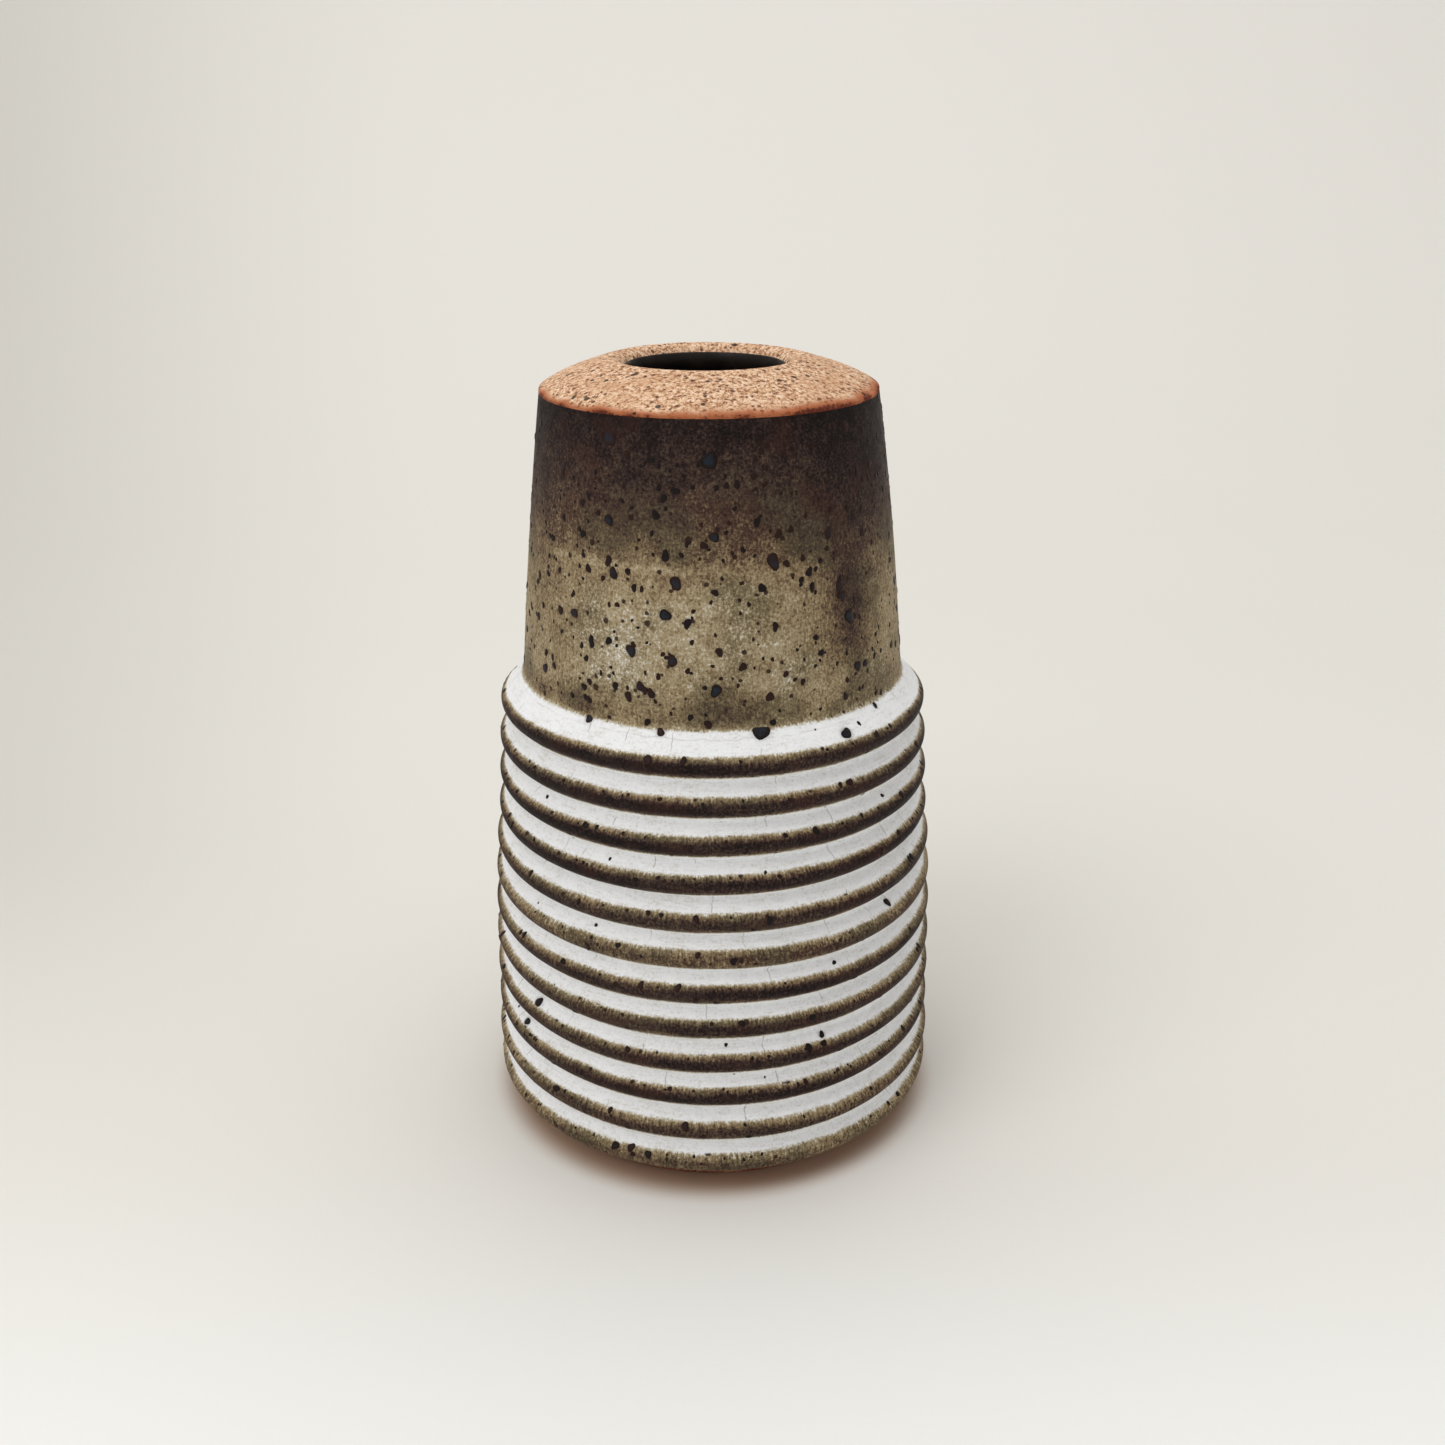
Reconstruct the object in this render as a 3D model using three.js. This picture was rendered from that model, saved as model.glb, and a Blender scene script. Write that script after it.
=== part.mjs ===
// A thrown and turned stoneware bud vase: a ribbed barrel, a ledge, a tapered neck and a low bare
// shoulder round a small mouth. Millimetres, +Z up, origin at the middle of the foot's underside.
// The clay body is one solid. Each glaze coat is a thin solid of its own that lies on the clay.
import * as THREE from "three";

// Ribbed barrel
const ribCount = 12;
const topCrestRadius = 36.5; // crest of the rib under the ledge
const barrelSwell = 3.5; // how much wider the lowest rib is than the top one
const upperNoseRadius = 0.9; // round on the upper side of each rib
const lowerNoseRadius = 2.35; // round on the lower side, which undercuts it
const rampAngle = 45; // slope of the ledge and of each groove's floor, in degrees
const grooveGap = 1.66; // from the top of a groove's ramp to the rib that overhangs it

// Neck, shoulder and mouth
const ledgeWidth = 4.1; // from the top rib's crest in to the foot of the neck
const neckHeight = 46.7; // from the ledge to the neck's upper end
const neckTaper = 5; // how much the neck's radius shrinks on the way up
const neckBulge = 0.4; // how far the taper stands out from a straight line
const shoulderRise = 4.95; // from the neck's upper end to the top of the lip
const shoulderFall = 1.6; // how far the shoulder has dropped where it starts to round over
const shoulderRound = 4.5; // width of the part that rounds over
const edgeBevel = 0.3; // between the shoulder and the neck
const mouthRadius = 12.9;
const lipRound = 2.4;

// Clay thickness
const barrelWall = 5; // behind the bottom of the grooves
const neckWall = 4.5;
const shoulderWall = 4.4;
const floorThickness = 7;
const cavityFillet = 8; // where the inside wall turns into the floor

// Foot
const footHeight = 4.15; // from the ground to the underside of the lowest rib
const footSetback = 3.65; // how far the foot stands in under that rib
const footRingWidth = 6;
const footRecess = 1.2; // how far the underside is turned up inside its ring

// Glaze
const coatThickness = 0.4;
const coatClearance = 0.25; // between a coat and the clay, and between one coat and the next
const breakLength = 0.8; // how far the dark coat on a rib reaches up the ramp above it
const breakAngle = 60; // how far it reaches round the rib's underside, in degrees

const sides = 24; // flats round the vase

// Sizes that follow from those above
const radians = THREE.MathUtils.degToRad;
const rampSteepness = Math.tan(radians(rampAngle));
const coatDepth = coatThickness + coatClearance;
const neckFootRadius = topCrestRadius - ledgeWidth;
const neckTopRadius = neckFootRadius - neckTaper;
const noseSetback = upperNoseRadius * (1 - Math.sin(radians(rampAngle)));
const rampRise = (lowerNoseRadius - noseSetback) * rampSteepness;
const noseRise = upperNoseRadius * Math.cos(radians(rampAngle));
const overhangDrop = lowerNoseRadius * Math.sin(radians(breakAngle));
const ribPitch = overhangDrop + grooveGap + rampRise + noseRise;

const point = (radius, height) => new THREE.Vector2(radius, height);

// Points on an arc, from one angle to another in degrees: 0 points away from the axis, 90 up.
function arc(centre, radius, from, to, steps) {
  return Array.from({ length: steps + 1 }, (_, step) => {
    const angle = radians(from + ((to - from) * step) / steps);
    const out = point(Math.cos(angle), Math.sin(angle));
    return out.multiplyScalar(radius).add(centre);
  });
}

// Points on a curve that leaves start towards control and reaches end from it.
function bend(start, control, end, steps) {
  return new THREE.QuadraticBezierCurve(start, control, end).getPoints(steps);
}

// An outline that runs from the top down, moved towards the axis side by depth.
function inset(outline, depth) {
  const runs = outline.slice(1).map((p, i) => p.clone().sub(outline[i]).normalize());
  return outline.map((here, i) => {
    const before = runs[Math.max(i - 1, 0)];
    const after = runs[Math.min(i, runs.length - 1)];
    const along = before.clone().add(after).normalize();
    const reach = depth / along.dot(before);
    return point(here.x + along.y * reach, here.y - along.x * reach);
  });
}

// An outline shortened at either end.
function trim(outline, fromStart, fromEnd) {
  const path = outline.map((p) => p.clone());
  const shorten = (end, next, by) => end.add(next.clone().sub(end).setLength(by));
  if (fromStart > 0) shorten(path[0], path[1], fromStart);
  if (fromEnd > 0) shorten(path.at(-1), path.at(-2), fromEnd);
  return path;
}

// An outline without the points that two stretches share.
function withoutRepeats(outline) {
  return outline.filter((p, i) => i === 0 || p.distanceTo(outline[i - 1]) > 1e-6);
}

// Ribs count from the top, 0 under the ledge.
function crest(rib) {
  const down = rib / (ribCount - 1);
  const swell = barrelSwell * Math.sin((down * Math.PI) / 2);
  const height = footHeight + lowerNoseRadius + (ribCount - 1 - rib) * ribPitch;
  return point(topCrestRadius + swell, height);
}

// The upper round of a rib, from the end of its ramp to its crest.
function upperNose(rib) {
  const top = crest(rib);
  const centre = point(top.x - upperNoseRadius, top.y);
  return arc(centre, upperNoseRadius, 90 - rampAngle, 0, 1);
}

// The lower round of a rib between two angles below its crest.
function lowerNose(rib, from, to) {
  const top = crest(rib);
  const centre = point(top.x - lowerNoseRadius, top.y);
  return arc(centre, lowerNoseRadius, -from, -to, 1);
}

// Where the ramp above a rib reaches a given radius.
function onRamp(rib, radius) {
  const start = upperNose(rib)[0];
  return point(radius, start.y + (start.x - radius) * rampSteepness);
}

// Where a rib's dark coat begins on its ramp.
function breakStart(rib) {
  return onRamp(rib, upperNose(rib)[0].x - breakLength * Math.cos(radians(rampAngle)));
}

// The finished surface of the vase, from the top down, in stretches.
const neckFoot = onRamp(0, neckFootRadius);
const neckTop = point(neckTopRadius, neckFoot.y + neckHeight);
const lipTop = neckTop.y + shoulderRise;
const neckMiddle = neckTop.clone().add(neckFoot).divideScalar(2);
const neckControl = point(neckMiddle.x + 2 * neckBulge, neckMiddle.y);
const neckOutline = bend(neckTop, neckControl, neckFoot, 6);

const lipCentre = point(mouthRadius + lipRound, lipTop - lipRound);
const lipOutline = arc(lipCentre, lipRound, 180, 90, 3);
const bareEdge = neckTop.y + coatClearance;
const shoulderOutline = [
  ...bend(
    lipOutline.at(-1),
    point(neckTopRadius - shoulderRound, lipTop - shoulderFall),
    point(neckTopRadius - edgeBevel, bareEdge + edgeBevel),
    5,
  ),
  point(neckTopRadius, bareEdge),
];

const ribOutline = (rib) => [
  breakStart(rib),
  ...upperNose(rib),
  ...lowerNose(rib, breakAngle / 2, breakAngle),
];

// The white-glazed surface above a rib: the ledge, or a groove from the rib over it.
function whiteOutline(rib) {
  if (rib === 0) return [neckFoot, breakStart(0)];
  const above = rib - 1;
  const overhang = ribOutline(above).at(-1);
  return [overhang, onRamp(rib, crest(above).x - lowerNoseRadius), breakStart(rib)];
}

// The inside, from the lip down to the middle of the floor.
const barrelInside = (rib) => crest(rib).x - lowerNoseRadius - coatDepth - barrelWall;
const insideRibs = [1, Math.round(ribCount / 3), Math.round((2 * ribCount) / 3)];
const filletCentre = point(
  barrelInside(ribCount - 1) - cavityFillet,
  floorThickness + cavityFillet,
);
const cavityOutline = [
  lipOutline[0],
  point(mouthRadius, lipTop - shoulderWall),
  point(neckTopRadius - neckWall, neckTop.y + shoulderRise / 2 - shoulderWall),
  point(neckFootRadius - neckWall, neckFoot.y),
  ...insideRibs.map((rib) => point(barrelInside(rib), crest(rib).y)),
  ...arc(filletCentre, cavityFillet, 0, -90, 3),
  point(0, floorThickness),
];

// The clay stands back under the coats, and comes out to the finished size where it is bare.
const coatedOutline = [neckOutline];
for (let rib = 0; rib < ribCount; rib += 1) {
  coatedOutline.push(whiteOutline(rib), ribOutline(rib));
}
const underLowestRib = lowerNose(ribCount - 1, 90, 90)[0];
const footRadius = underLowestRib.x - footSetback;
const recessRadius = footRadius - footRingWidth;
const bodyOutline = [
  ...cavityOutline.toReversed(),
  ...lipOutline.slice(1),
  ...shoulderOutline.slice(1),
  ...inset(withoutRepeats(coatedOutline.flat()), coatDepth),
  underLowestRib,
  point(footRadius, 0),
  point(recessRadius, 0),
  point(recessRadius - footRecess, footRecess),
  point(0, footRecess),
];

const finishes = {
  clay: { color: 0xc99a74, roughness: 0.9 },
  neck: { color: 0x6b573f, roughness: 0.5 },
  white: { color: 0xe2ddd6, roughness: 0.55 },
  rib: { color: 0x3d3026, roughness: 0.5 },
  liner: { color: 0x3a2f28, roughness: 0.35 },
};

const vase = new THREE.Group();

// One closed solid, turned from an outline that runs up its inner side and down its outer side.
function turn(name, outline, finish) {
  const geometry = new THREE.LatheGeometry(outline.toReversed(), sides);
  geometry.rotateX(Math.PI / 2);
  const material = new THREE.MeshStandardMaterial({ ...finishes[finish], metalness: 0 });
  const mesh = new THREE.Mesh(geometry, material);
  mesh.name = name;
  vase.add(mesh);
}

// A ring of glaze that lies on the clay along a stretch of the finished surface.
function coat(name, outline, finish) {
  const inner = inset(outline, coatThickness).toReversed();
  turn(name, [...inner, ...outline, inner[0]], finish);
}

turn("stoneware_body", bodyOutline, "clay");
coat("neck_glaze", trim(neckOutline, 0, coatClearance), "neck");
for (let rib = 0; rib < ribCount; rib += 1) {
  const number = String(rib + 1).padStart(2, "0");
  coat(`white_glaze_${number}`, trim(whiteOutline(rib), coatClearance, coatClearance), "white");
  coat(`rib_glaze_${number}`, ribOutline(rib), "rib");
}

// The liner coats the inside from under the lip's round to the middle of the floor.
const linedOutline = trim(cavityOutline, coatClearance, 0);
const linerBack = inset(linedOutline, coatClearance);
const linerFace = inset(linedOutline, coatDepth);
turn("liner_glaze", [...linerFace.toReversed(), ...linerBack], "liner");

export default vase;
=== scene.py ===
"""A thrown stoneware bud vase: a ribbed barrel, a ledge, a tapered neck and a low bare shoulder
round a small mouth. Shapes are worked out in millimetres and set down in metres."""
import math

import bpy
import numpy as np
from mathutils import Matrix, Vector, noise


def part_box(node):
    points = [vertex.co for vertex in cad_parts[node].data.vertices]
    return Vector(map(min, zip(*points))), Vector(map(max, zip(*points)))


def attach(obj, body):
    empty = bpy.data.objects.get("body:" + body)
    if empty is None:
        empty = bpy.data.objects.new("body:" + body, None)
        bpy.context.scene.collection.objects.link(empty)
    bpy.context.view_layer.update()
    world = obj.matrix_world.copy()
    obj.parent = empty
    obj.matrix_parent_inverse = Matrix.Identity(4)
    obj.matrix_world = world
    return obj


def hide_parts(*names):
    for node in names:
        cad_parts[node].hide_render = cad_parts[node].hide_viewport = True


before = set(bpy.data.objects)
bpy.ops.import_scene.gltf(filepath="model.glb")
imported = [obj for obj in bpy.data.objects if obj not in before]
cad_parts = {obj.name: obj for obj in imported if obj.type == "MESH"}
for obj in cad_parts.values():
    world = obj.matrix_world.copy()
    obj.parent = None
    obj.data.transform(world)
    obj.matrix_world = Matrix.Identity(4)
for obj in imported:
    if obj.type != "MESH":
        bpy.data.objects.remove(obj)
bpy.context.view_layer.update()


# ---- Camera ------------------------------------------------------------------------------
# It stands a quarter of a metre from the vase's axis and a few centimetres above the lip, and
# tips down far enough to see over the bare shoulder and just into the mouth.

MM = 0.001  # one millimetre, in metres
camera_distance = 245.3
camera_height = 168.9
camera_dip = 21.95  # degrees below level
camera_turn = 0.4  # degrees to the right

scene = bpy.context.scene
camera = bpy.data.objects.new("camera", bpy.data.cameras.new("camera"))
camera.location = (0, -camera_distance * MM, camera_height * MM)
camera.rotation_euler = (math.radians(90 - camera_dip), 0, math.radians(-camera_turn))
camera.data.lens = 37.5
camera.data.sensor_width = 36
camera.data.clip_start = 10 * MM
scene.collection.objects.link(camera)
scene.camera = camera
scene.view_settings.view_transform = "Standard"


# ---- Paper sweep and light ---------------------------------------------------------------
# One long sheet of off-white paper lies under the vase and curves up behind it. A broad lamp
# hangs overhead, a smaller one stands at the front left, and the pale room fills the shadows.

def paint(red, green, blue_heart_and_glint):
    """A colour as it would be read off a screen, from 0 to 255, as a shader wants it."""
    shares = [value / 255 for value in (red, green, blue_heart_and_glint)]
    return [s / 12.92 if s <= 0.04045 else ((s + 0.055) / 1.055) ** 2.4 for s in shares] + [1]


class Recipe:
    """A material put together from nodes. Sizes are in millimetres."""

    def __init__(self, name):
        self.material = bpy.data.materials.new(name)
        self.material.use_nodes = True
        self.nodes = self.material.node_tree.nodes
        self.shader = self.nodes["Principled BSDF"]
        where = self.add("ShaderNodeTexCoord").outputs["Object"]
        self.place = self.along("SCALE", where, Scale=1 / MM)
        flat = self.along("MULTIPLY", self.place, (1, 1, 0))
        self.compass = self.along("NORMALIZE", flat)
        self.height = self.part(self.place, 2)

    def join(self, value, socket):
        if isinstance(value, bpy.types.NodeSocket):
            self.material.node_tree.links.new(value, socket)
        else:
            socket.default_value = value

    def add(self, kind, sockets=None, **settings):
        node = self.nodes.new(kind)
        for setting, value in settings.items():
            setattr(node, setting, value)
        for socket, value in (sockets or {}).items():
            self.join(value, node.inputs[socket])
        return node

    def sum(self, operation, *values, clamp=False):
        node = self.add("ShaderNodeMath", dict(enumerate(values)), operation=operation)
        node.use_clamp = clamp
        return node.outputs[0]

    def along(self, operation, *values, **sockets):
        inputs = {**dict(enumerate(values)), **sockets}
        node = self.add("ShaderNodeVectorMath", inputs, operation=operation)
        return node.outputs["Vector"]

    def part(self, vector, axis):
        return self.add("ShaderNodeSeparateXYZ", {0: vector}).outputs[axis]

    def reading(self, attribute):
        """A number that the mesh carries at each of its points."""
        return self.add("ShaderNodeAttribute", attribute_name=attribute).outputs["Fac"]

    def unrolled(self, radius, upright):
        """Coordinates round a cylinder, so that a pattern follows the pot. upright under 1
        draws it out from top to bottom."""
        rolled = self.along("SCALE", self.compass, Scale=radius)
        rise = self.add("ShaderNodeCombineXYZ", {2: self.sum("MULTIPLY", self.height, upright)})
        return self.along("ADD", rolled, rise.outputs[0])

    def clouds(self, size, where=None, detail=2.0, roughness=0.5):
        """Soft noise from 0 to 1, with patches of that size."""
        inputs = {"Vector": where or self.place, "Scale": 1 / size, "Detail": detail}
        return self.add("ShaderNodeTexNoise", {**inputs, "Roughness": roughness}).outputs[0]

    def step(self, value, low, high, start=0.0, end=1.0):
        """Goes smoothly from start to end as value goes from low to high."""
        inputs = {"Value": value, 1: low, 2: high, 3: start, 4: end}
        node = self.add("ShaderNodeMapRange", inputs, interpolation_type="SMOOTHSTEP")
        return node.outputs[0]

    def grains(self, spacing, radius, share, where=None, seed=0.0):
        """1 inside scattered round grains of up to that radius, 0 outside. share is how many
        of the places that are spacing apart hold one."""
        where = self.along("ADD", where or self.place, (seed, 2 * seed, 3 * seed))
        inputs = {"Vector": where, "Scale": 1 / spacing}
        cell = self.add("ShaderNodeTexVoronoi", inputs)
        chance = self.add("ShaderNodeSeparateColor", {0: cell.outputs["Color"]})
        held = self.sum("LESS_THAN", chance.outputs[0], share)
        size = self.step(chance.outputs[1], 0, 1, 0.45 * radius, radius)
        reach = self.sum("MULTIPLY", cell.outputs["Distance"], spacing)
        inside = self.sum("MULTIPLY_ADD", self.sum("DIVIDE", reach, size), -4.0, 4.0, clamp=True)
        return self.sum("MULTIPLY", inside, held)

    def blend(self, amount, under, over):
        """The colour over laid on the colour under."""
        node = self.add("ShaderNodeMix", data_type="RGBA")
        self.join(amount, node.inputs["Factor"])
        self.join(under, node.inputs["A"])
        self.join(over, node.inputs["B"])
        return node.outputs["Result"]

    def scale_of(self, value, *stops):
        """A run of colours, each given as its place from 0 to 1 and its paint."""
        node = self.add("ShaderNodeValToRGB", {0: value})
        places = node.color_ramp.elements
        while len(places) < len(stops):
            places.new(1.0)
        for place, (at, colour) in zip(places, stops):
            place.position = at
            place.color = colour
        return node.outputs[0]

    def relief(self, height, depth):
        """Bumps as tall as depth where height is 1."""
        node = self.add("ShaderNodeBump", {"Height": height, "Distance": depth * MM})
        return node.outputs[0]

    def finish(self, colour, roughness, normal):
        self.join(colour, self.shader.inputs["Base Color"])
        self.join(roughness, self.shader.inputs["Roughness"])
        self.join(normal, self.shader.inputs["Normal"])
        return self.material


paper_drop = 0.05  # the paper lies that far under the foot, so that their faces don't mix
sweep_front, sweep_back, sweep_bend, sweep_top, sweep_half = -1500, 380, 800, 1900, 1700

# The paper is painted lighter in front and towards the back, and greyest along its left, with a
# painted shade in a fan that opens towards the back. A narrow ring round the foot is painted
# browner: a painted contact shadow, tinted like light thrown back off the clay.
paper = Recipe("off_white_paper")
fibres = paper.clouds(0.7, detail=3)
drift = paper.clouds(160, detail=1)
across, back = paper.part(paper.place, 0), paper.part(paper.place, 1)
fan_tip = 245.0  # how far in front of the vase's axis the fan opens from
fan = paper.sum("DIVIDE", across, paper.sum("ADD", back, fan_tip))
# Painted shade: the paper greyed along its left, in a fan.
painted_fan_shade = paper.sum("MULTIPLY", paper.step(fan, -0.60, -0.15, 1, 0), paper.step(back, -60, 110))
across_squared, back_squared = paper.sum("POWER", across, 2.0), paper.sum("POWER", back, 2.0)
from_axis = paper.sum("SQRT", paper.sum("ADD", across_squared, back_squared))
pale = paper.blend(drift, paint(232, 229, 222), paint(236, 233, 228))
# Painted light: the far paper made lighter.
pale = paper.blend(paper.step(back, 150, 900), pale, paint(240, 237, 231))
pale = paper.blend(painted_fan_shade, pale, paint(213, 210, 203))
# Painted light: the front of the paper made lighter.
pale = paper.blend(paper.step(back, -140, -20, 1, 0), pale, paint(250, 251, 249))
# Painted contact shadow: a brown ring on the paper round the foot, tinted like bounced light.
pale = paper.blend(paper.step(from_axis, 36, 42.5, 1, 0), pale, paint(182, 158, 136))
paper.finish(pale, 0.85, paper.relief(fibres, 0.02))

bend = [
    (sweep_back + sweep_bend * math.sin(a), sweep_bend * (1 - math.cos(a)))
    for a in np.radians(np.arange(0, 91, 3))
]
sheet_side = [(sweep_front, 0), *bend, (sweep_back + sweep_bend, sweep_top)]
corners = [(x, y, z - paper_drop) for y, z in sheet_side for x in (-sweep_half, sweep_half)]
strips = [(2 * i, 2 * i + 1, 2 * i + 3, 2 * i + 2) for i in range(len(sheet_side) - 1)]
sheet = bpy.data.meshes.new("paper_sweep")
sheet.from_pydata([Vector(corner) * MM for corner in corners], [], strips)
sheet.polygons.foreach_set("use_smooth", [True] * len(strips))
sheet.materials.append(paper.material)
floor = bpy.data.objects.new("paper_sweep", sheet)
scene.collection.objects.link(floor)


def hang_lamp(name, size, watts, place, aimed_at):
    lamp = bpy.data.objects.new(name, bpy.data.lights.new(name, "AREA"))
    lamp.data.shape = "SQUARE"
    lamp.data.size = size * MM
    lamp.data.energy = watts
    lamp.data.color = (1.0, 1.0, 0.985)
    lamp.location = Vector(place) * MM
    towards = Vector(aimed_at) - Vector(place)
    lamp.rotation_euler = towards.to_track_quat("-Z", "Y").to_euler()
    scene.collection.objects.link(lamp)


hang_lamp("overhead_lamp", 1600, 6.5, (-40, 180, 1300), (0, 0, 0))
hang_lamp("front_left_lamp", 600, 2.95, (-500, -500, 900), (0, 0, 60))

room = bpy.data.worlds.new("pale_room")
room.use_nodes = True
room.node_tree.nodes["Background"].inputs["Color"].default_value = (1.0, 0.997, 0.985, 1)
room.node_tree.nodes["Background"].inputs["Strength"].default_value = 0.565
scene.world = room


# ---- Clay body ---------------------------------------------------------------------------
# Sandy, speckled stoneware, thrown thick in one piece and turned to its ribs, ledge, neck and
# foot when leather hard. It stands back under the glazes, and is bare on the shoulder, the lip
# and the foot, where the fire has flashed it orange in places.

rib_count = 12
lower_nose = 2.35  # round on the lower side of each rib
upper_nose = 0.9  # round on its upper side
break_angle = 60  # how far the dark coat reaches under a rib, in degrees
break_length = 0.8  # how far it reaches up the ramp
neck_taper = 5.0
neck_bulge = 0.4
rib_drift = [0, -0.1, -0.05, -0.1, 0, 0.1, 0.25, 0.3, 0.2, 0.2, 0, 0]  # up from even spacing
rib_swell = [0, 0, -0.1, -0.15, 0.1, 0.15, 0.1, 0, -0.1, -0.2, 0, -0.1]  # out from an even curve

lip_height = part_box("stoneware_body")[1].z / MM
neck_low, neck_high = (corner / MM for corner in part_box("neck_glaze"))
neck_foot = Vector((neck_high.x, neck_low.z))
neck_top = Vector((neck_high.x - neck_taper, neck_high.z))


def crest(rib):
    """Radius and height of a rib's outermost line. Ribs count from 0 under the ledge."""
    low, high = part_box(f"rib_glaze_{rib + 1:02d}")
    height = low.z / MM + lower_nose * math.sin(math.radians(break_angle))
    return Vector((high.x / MM + rib_swell[rib], height + rib_drift[rib]))


def arc(centre, radius, start, end, steps):
    """Points on an arc, from one angle to another in degrees: 0 points outwards, 90 up."""
    turn = np.radians(np.linspace(start, end, steps + 1))
    return [centre + radius * Vector((math.cos(a), math.sin(a))) for a in turn]


def swing(start, control, end, steps):
    """Points on a curve that leaves start towards control and reaches end from it."""
    shares = np.linspace(0, 1, steps + 1)
    return [start * (1 - t) ** 2 + control * 2 * t * (1 - t) + end * t**2 for t in shares]


def length_of(points):
    return sum((b - a).length for a, b in zip(points, points[1:]))


# The outline runs down the outside, from a millimetre above the neck. marks holds the distance
# along it where each coat starts, and crest_marks where each rib stands out furthest.
middle = (neck_top + neck_foot) / 2 + Vector((2 * neck_bulge, 0))
above_neck = neck_top + (neck_top - middle).normalized()
outline = [above_neck, *swing(neck_top, middle, neck_foot, 24)]
marks = {"neck": 1.0}
crest_marks = []
crests = [crest(rib) for rib in range(rib_count)]
up_ramp = Vector((-1, 1)).normalized()
for rib, top in enumerate(crests):
    upper = arc(top - Vector((upper_nose, 0)), upper_nose, 45, 0, 6)
    lower = arc(top - Vector((lower_nose, 0)), lower_nose, 0, -break_angle, 10)
    if rib == 0:
        marks["white_01"] = length_of(outline)
    else:
        reach = (upper[0].x - (crests[rib - 1].x - lower_nose)) * math.sqrt(2)
        outline.append(upper[0] + up_ramp * reach)
    start = upper[0] + up_ramp * break_length
    outline.append(start)
    marks[f"rib_{rib + 1:02d}"] = length_of(outline)
    outline += upper
    crest_marks.append(length_of(outline))
    outline += lower[1:]
    marks[f"white_{rib + 2:02d}"] = length_of(outline)
outline += arc(crests[-1] - Vector((lower_nose, 0)), lower_nose, -break_angle, -90, 5)[1:]
outline.append(outline[-1] - Vector((2, 0)))

outline = np.array(outline)
steps_along = np.linalg.norm(np.diff(outline, axis=0), axis=1)
distances = np.concatenate([[0], np.cumsum(steps_along)])
melt = 0.22  # how far fired glaze softens the corners


def finished(distance):
    """Radius and height of the finished surface, at distances along its outline."""
    taps = np.linspace(-2, 2, 9)
    weights = np.exp(-(taps**2) / 2)
    weights /= weights.sum()
    total = np.zeros((len(distance), 2))
    for tap, weight in zip(taps, weights):
        for axis in (0, 1):
            total[:, axis] += weight * np.interp(distance + tap * melt, distances, outline[:, axis])
    return total


def under(distance, depth):
    """The same, that deep inside the clay."""
    run = finished(distance + 0.05) - finished(distance - 0.05)
    run /= np.linalg.norm(run, axis=1)[:, None]
    return finished(distance) + depth * np.stack([run[:, 1], -run[:, 0]], axis=1)


def by_hand(points):
    """Moves points off the true circle, as a wheel and a hand leave them. The mouth was opened
    a little off centre."""
    mouth_left, mouth_back = 0.6, 0.9
    x, y, z = points.T
    angle = np.arctan2(x, -y)
    radius = np.hypot(x, y)
    wave = 0.10 * np.sin(2 * angle + 0.02 * z) + 0.06 * np.sin(3 * angle + 1.3 - 0.04 * z)
    wave += 0.03 * np.sin(5 * angle + 0.11 * z)
    grow = 1 + wave / 40
    lean = -0.5 * np.clip((z - 70) / 60, 0, 1) ** 2
    sway = 0.10 * np.sin(angle + 0.7 + 0.09 * z) + 0.05 * np.sin(3 * angle + 0.21 * z)
    lift = sway * np.clip(radius / 30, 0, 1) * np.clip((z - 4) / 6, 0, 1)
    mouth = np.clip((27 - radius) / 14, 0, 1) * np.clip((z - 112) / 14, 0, 1)
    across = x * grow + lean - mouth_left * mouth
    back = y * grow + mouth_back * mouth
    return np.stack([across, back, z + lift], axis=1)


def spun(rows, sides):
    """Points and faces of an outline turned round the axis. It runs down the pot's outside or
    up its inside. It ends on the axis or closes on itself."""
    rows = np.asarray(rows, dtype=float)
    angle = np.linspace(0, 2 * math.pi, sides, endpoint=False)
    open_ended = rows[0, 0] < 1e-6
    rings = rows[1:-1] if open_ended else rows
    radius, height = rings[:, :1], rings[:, 1:]
    points = np.stack([radius * np.sin(angle), -radius * np.cos(angle), height + 0 * angle], axis=2)
    points = points.reshape(-1, 3)
    index = np.arange(len(points)).reshape(len(rings), sides)
    if not open_ended:
        index = np.vstack([index, index[:1]])
    right = np.roll(index, -1, axis=1)
    quads = np.stack([index[:-1], index[1:], right[1:], right[:-1]], axis=2).reshape(-1, 4)
    faces = quads.tolist()
    if open_ended:
        first, last = len(points), len(points) + 1
        points = np.vstack([points, [0, 0, rows[0, 1]], [0, 0, rows[-1, 1]]])
        faces += [[first, a, b] for a, b in zip(index[0].tolist(), right[0].tolist())]
        faces += [[a, last, b] for a, b in zip(index[-1].tolist(), right[-1].tolist())]
    return points, faces


def set_down(name, points, faces, materials, readings, node, material_of=None):
    """Makes the piece, and lets it stand for its CAD node."""
    mesh = bpy.data.meshes.new(name)
    mesh.from_pydata((by_hand(points) * MM).tolist(), [], faces)
    mesh.polygons.foreach_set("use_smooth", [True] * len(mesh.polygons))
    if material_of is not None:
        mesh.polygons.foreach_set("material_index", material_of)
    for material in materials:
        mesh.materials.append(material)
    for reading, values in readings.items():
        layer = mesh.attributes.new(reading, "FLOAT", "POINT")
        layer.data.foreach_set("value", np.asarray(values, dtype=np.float32))
    piece = bpy.data.objects.new(name, mesh)
    scene.collection.objects.link(piece)
    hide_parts(node)
    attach(piece, "root")
    return piece


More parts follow.
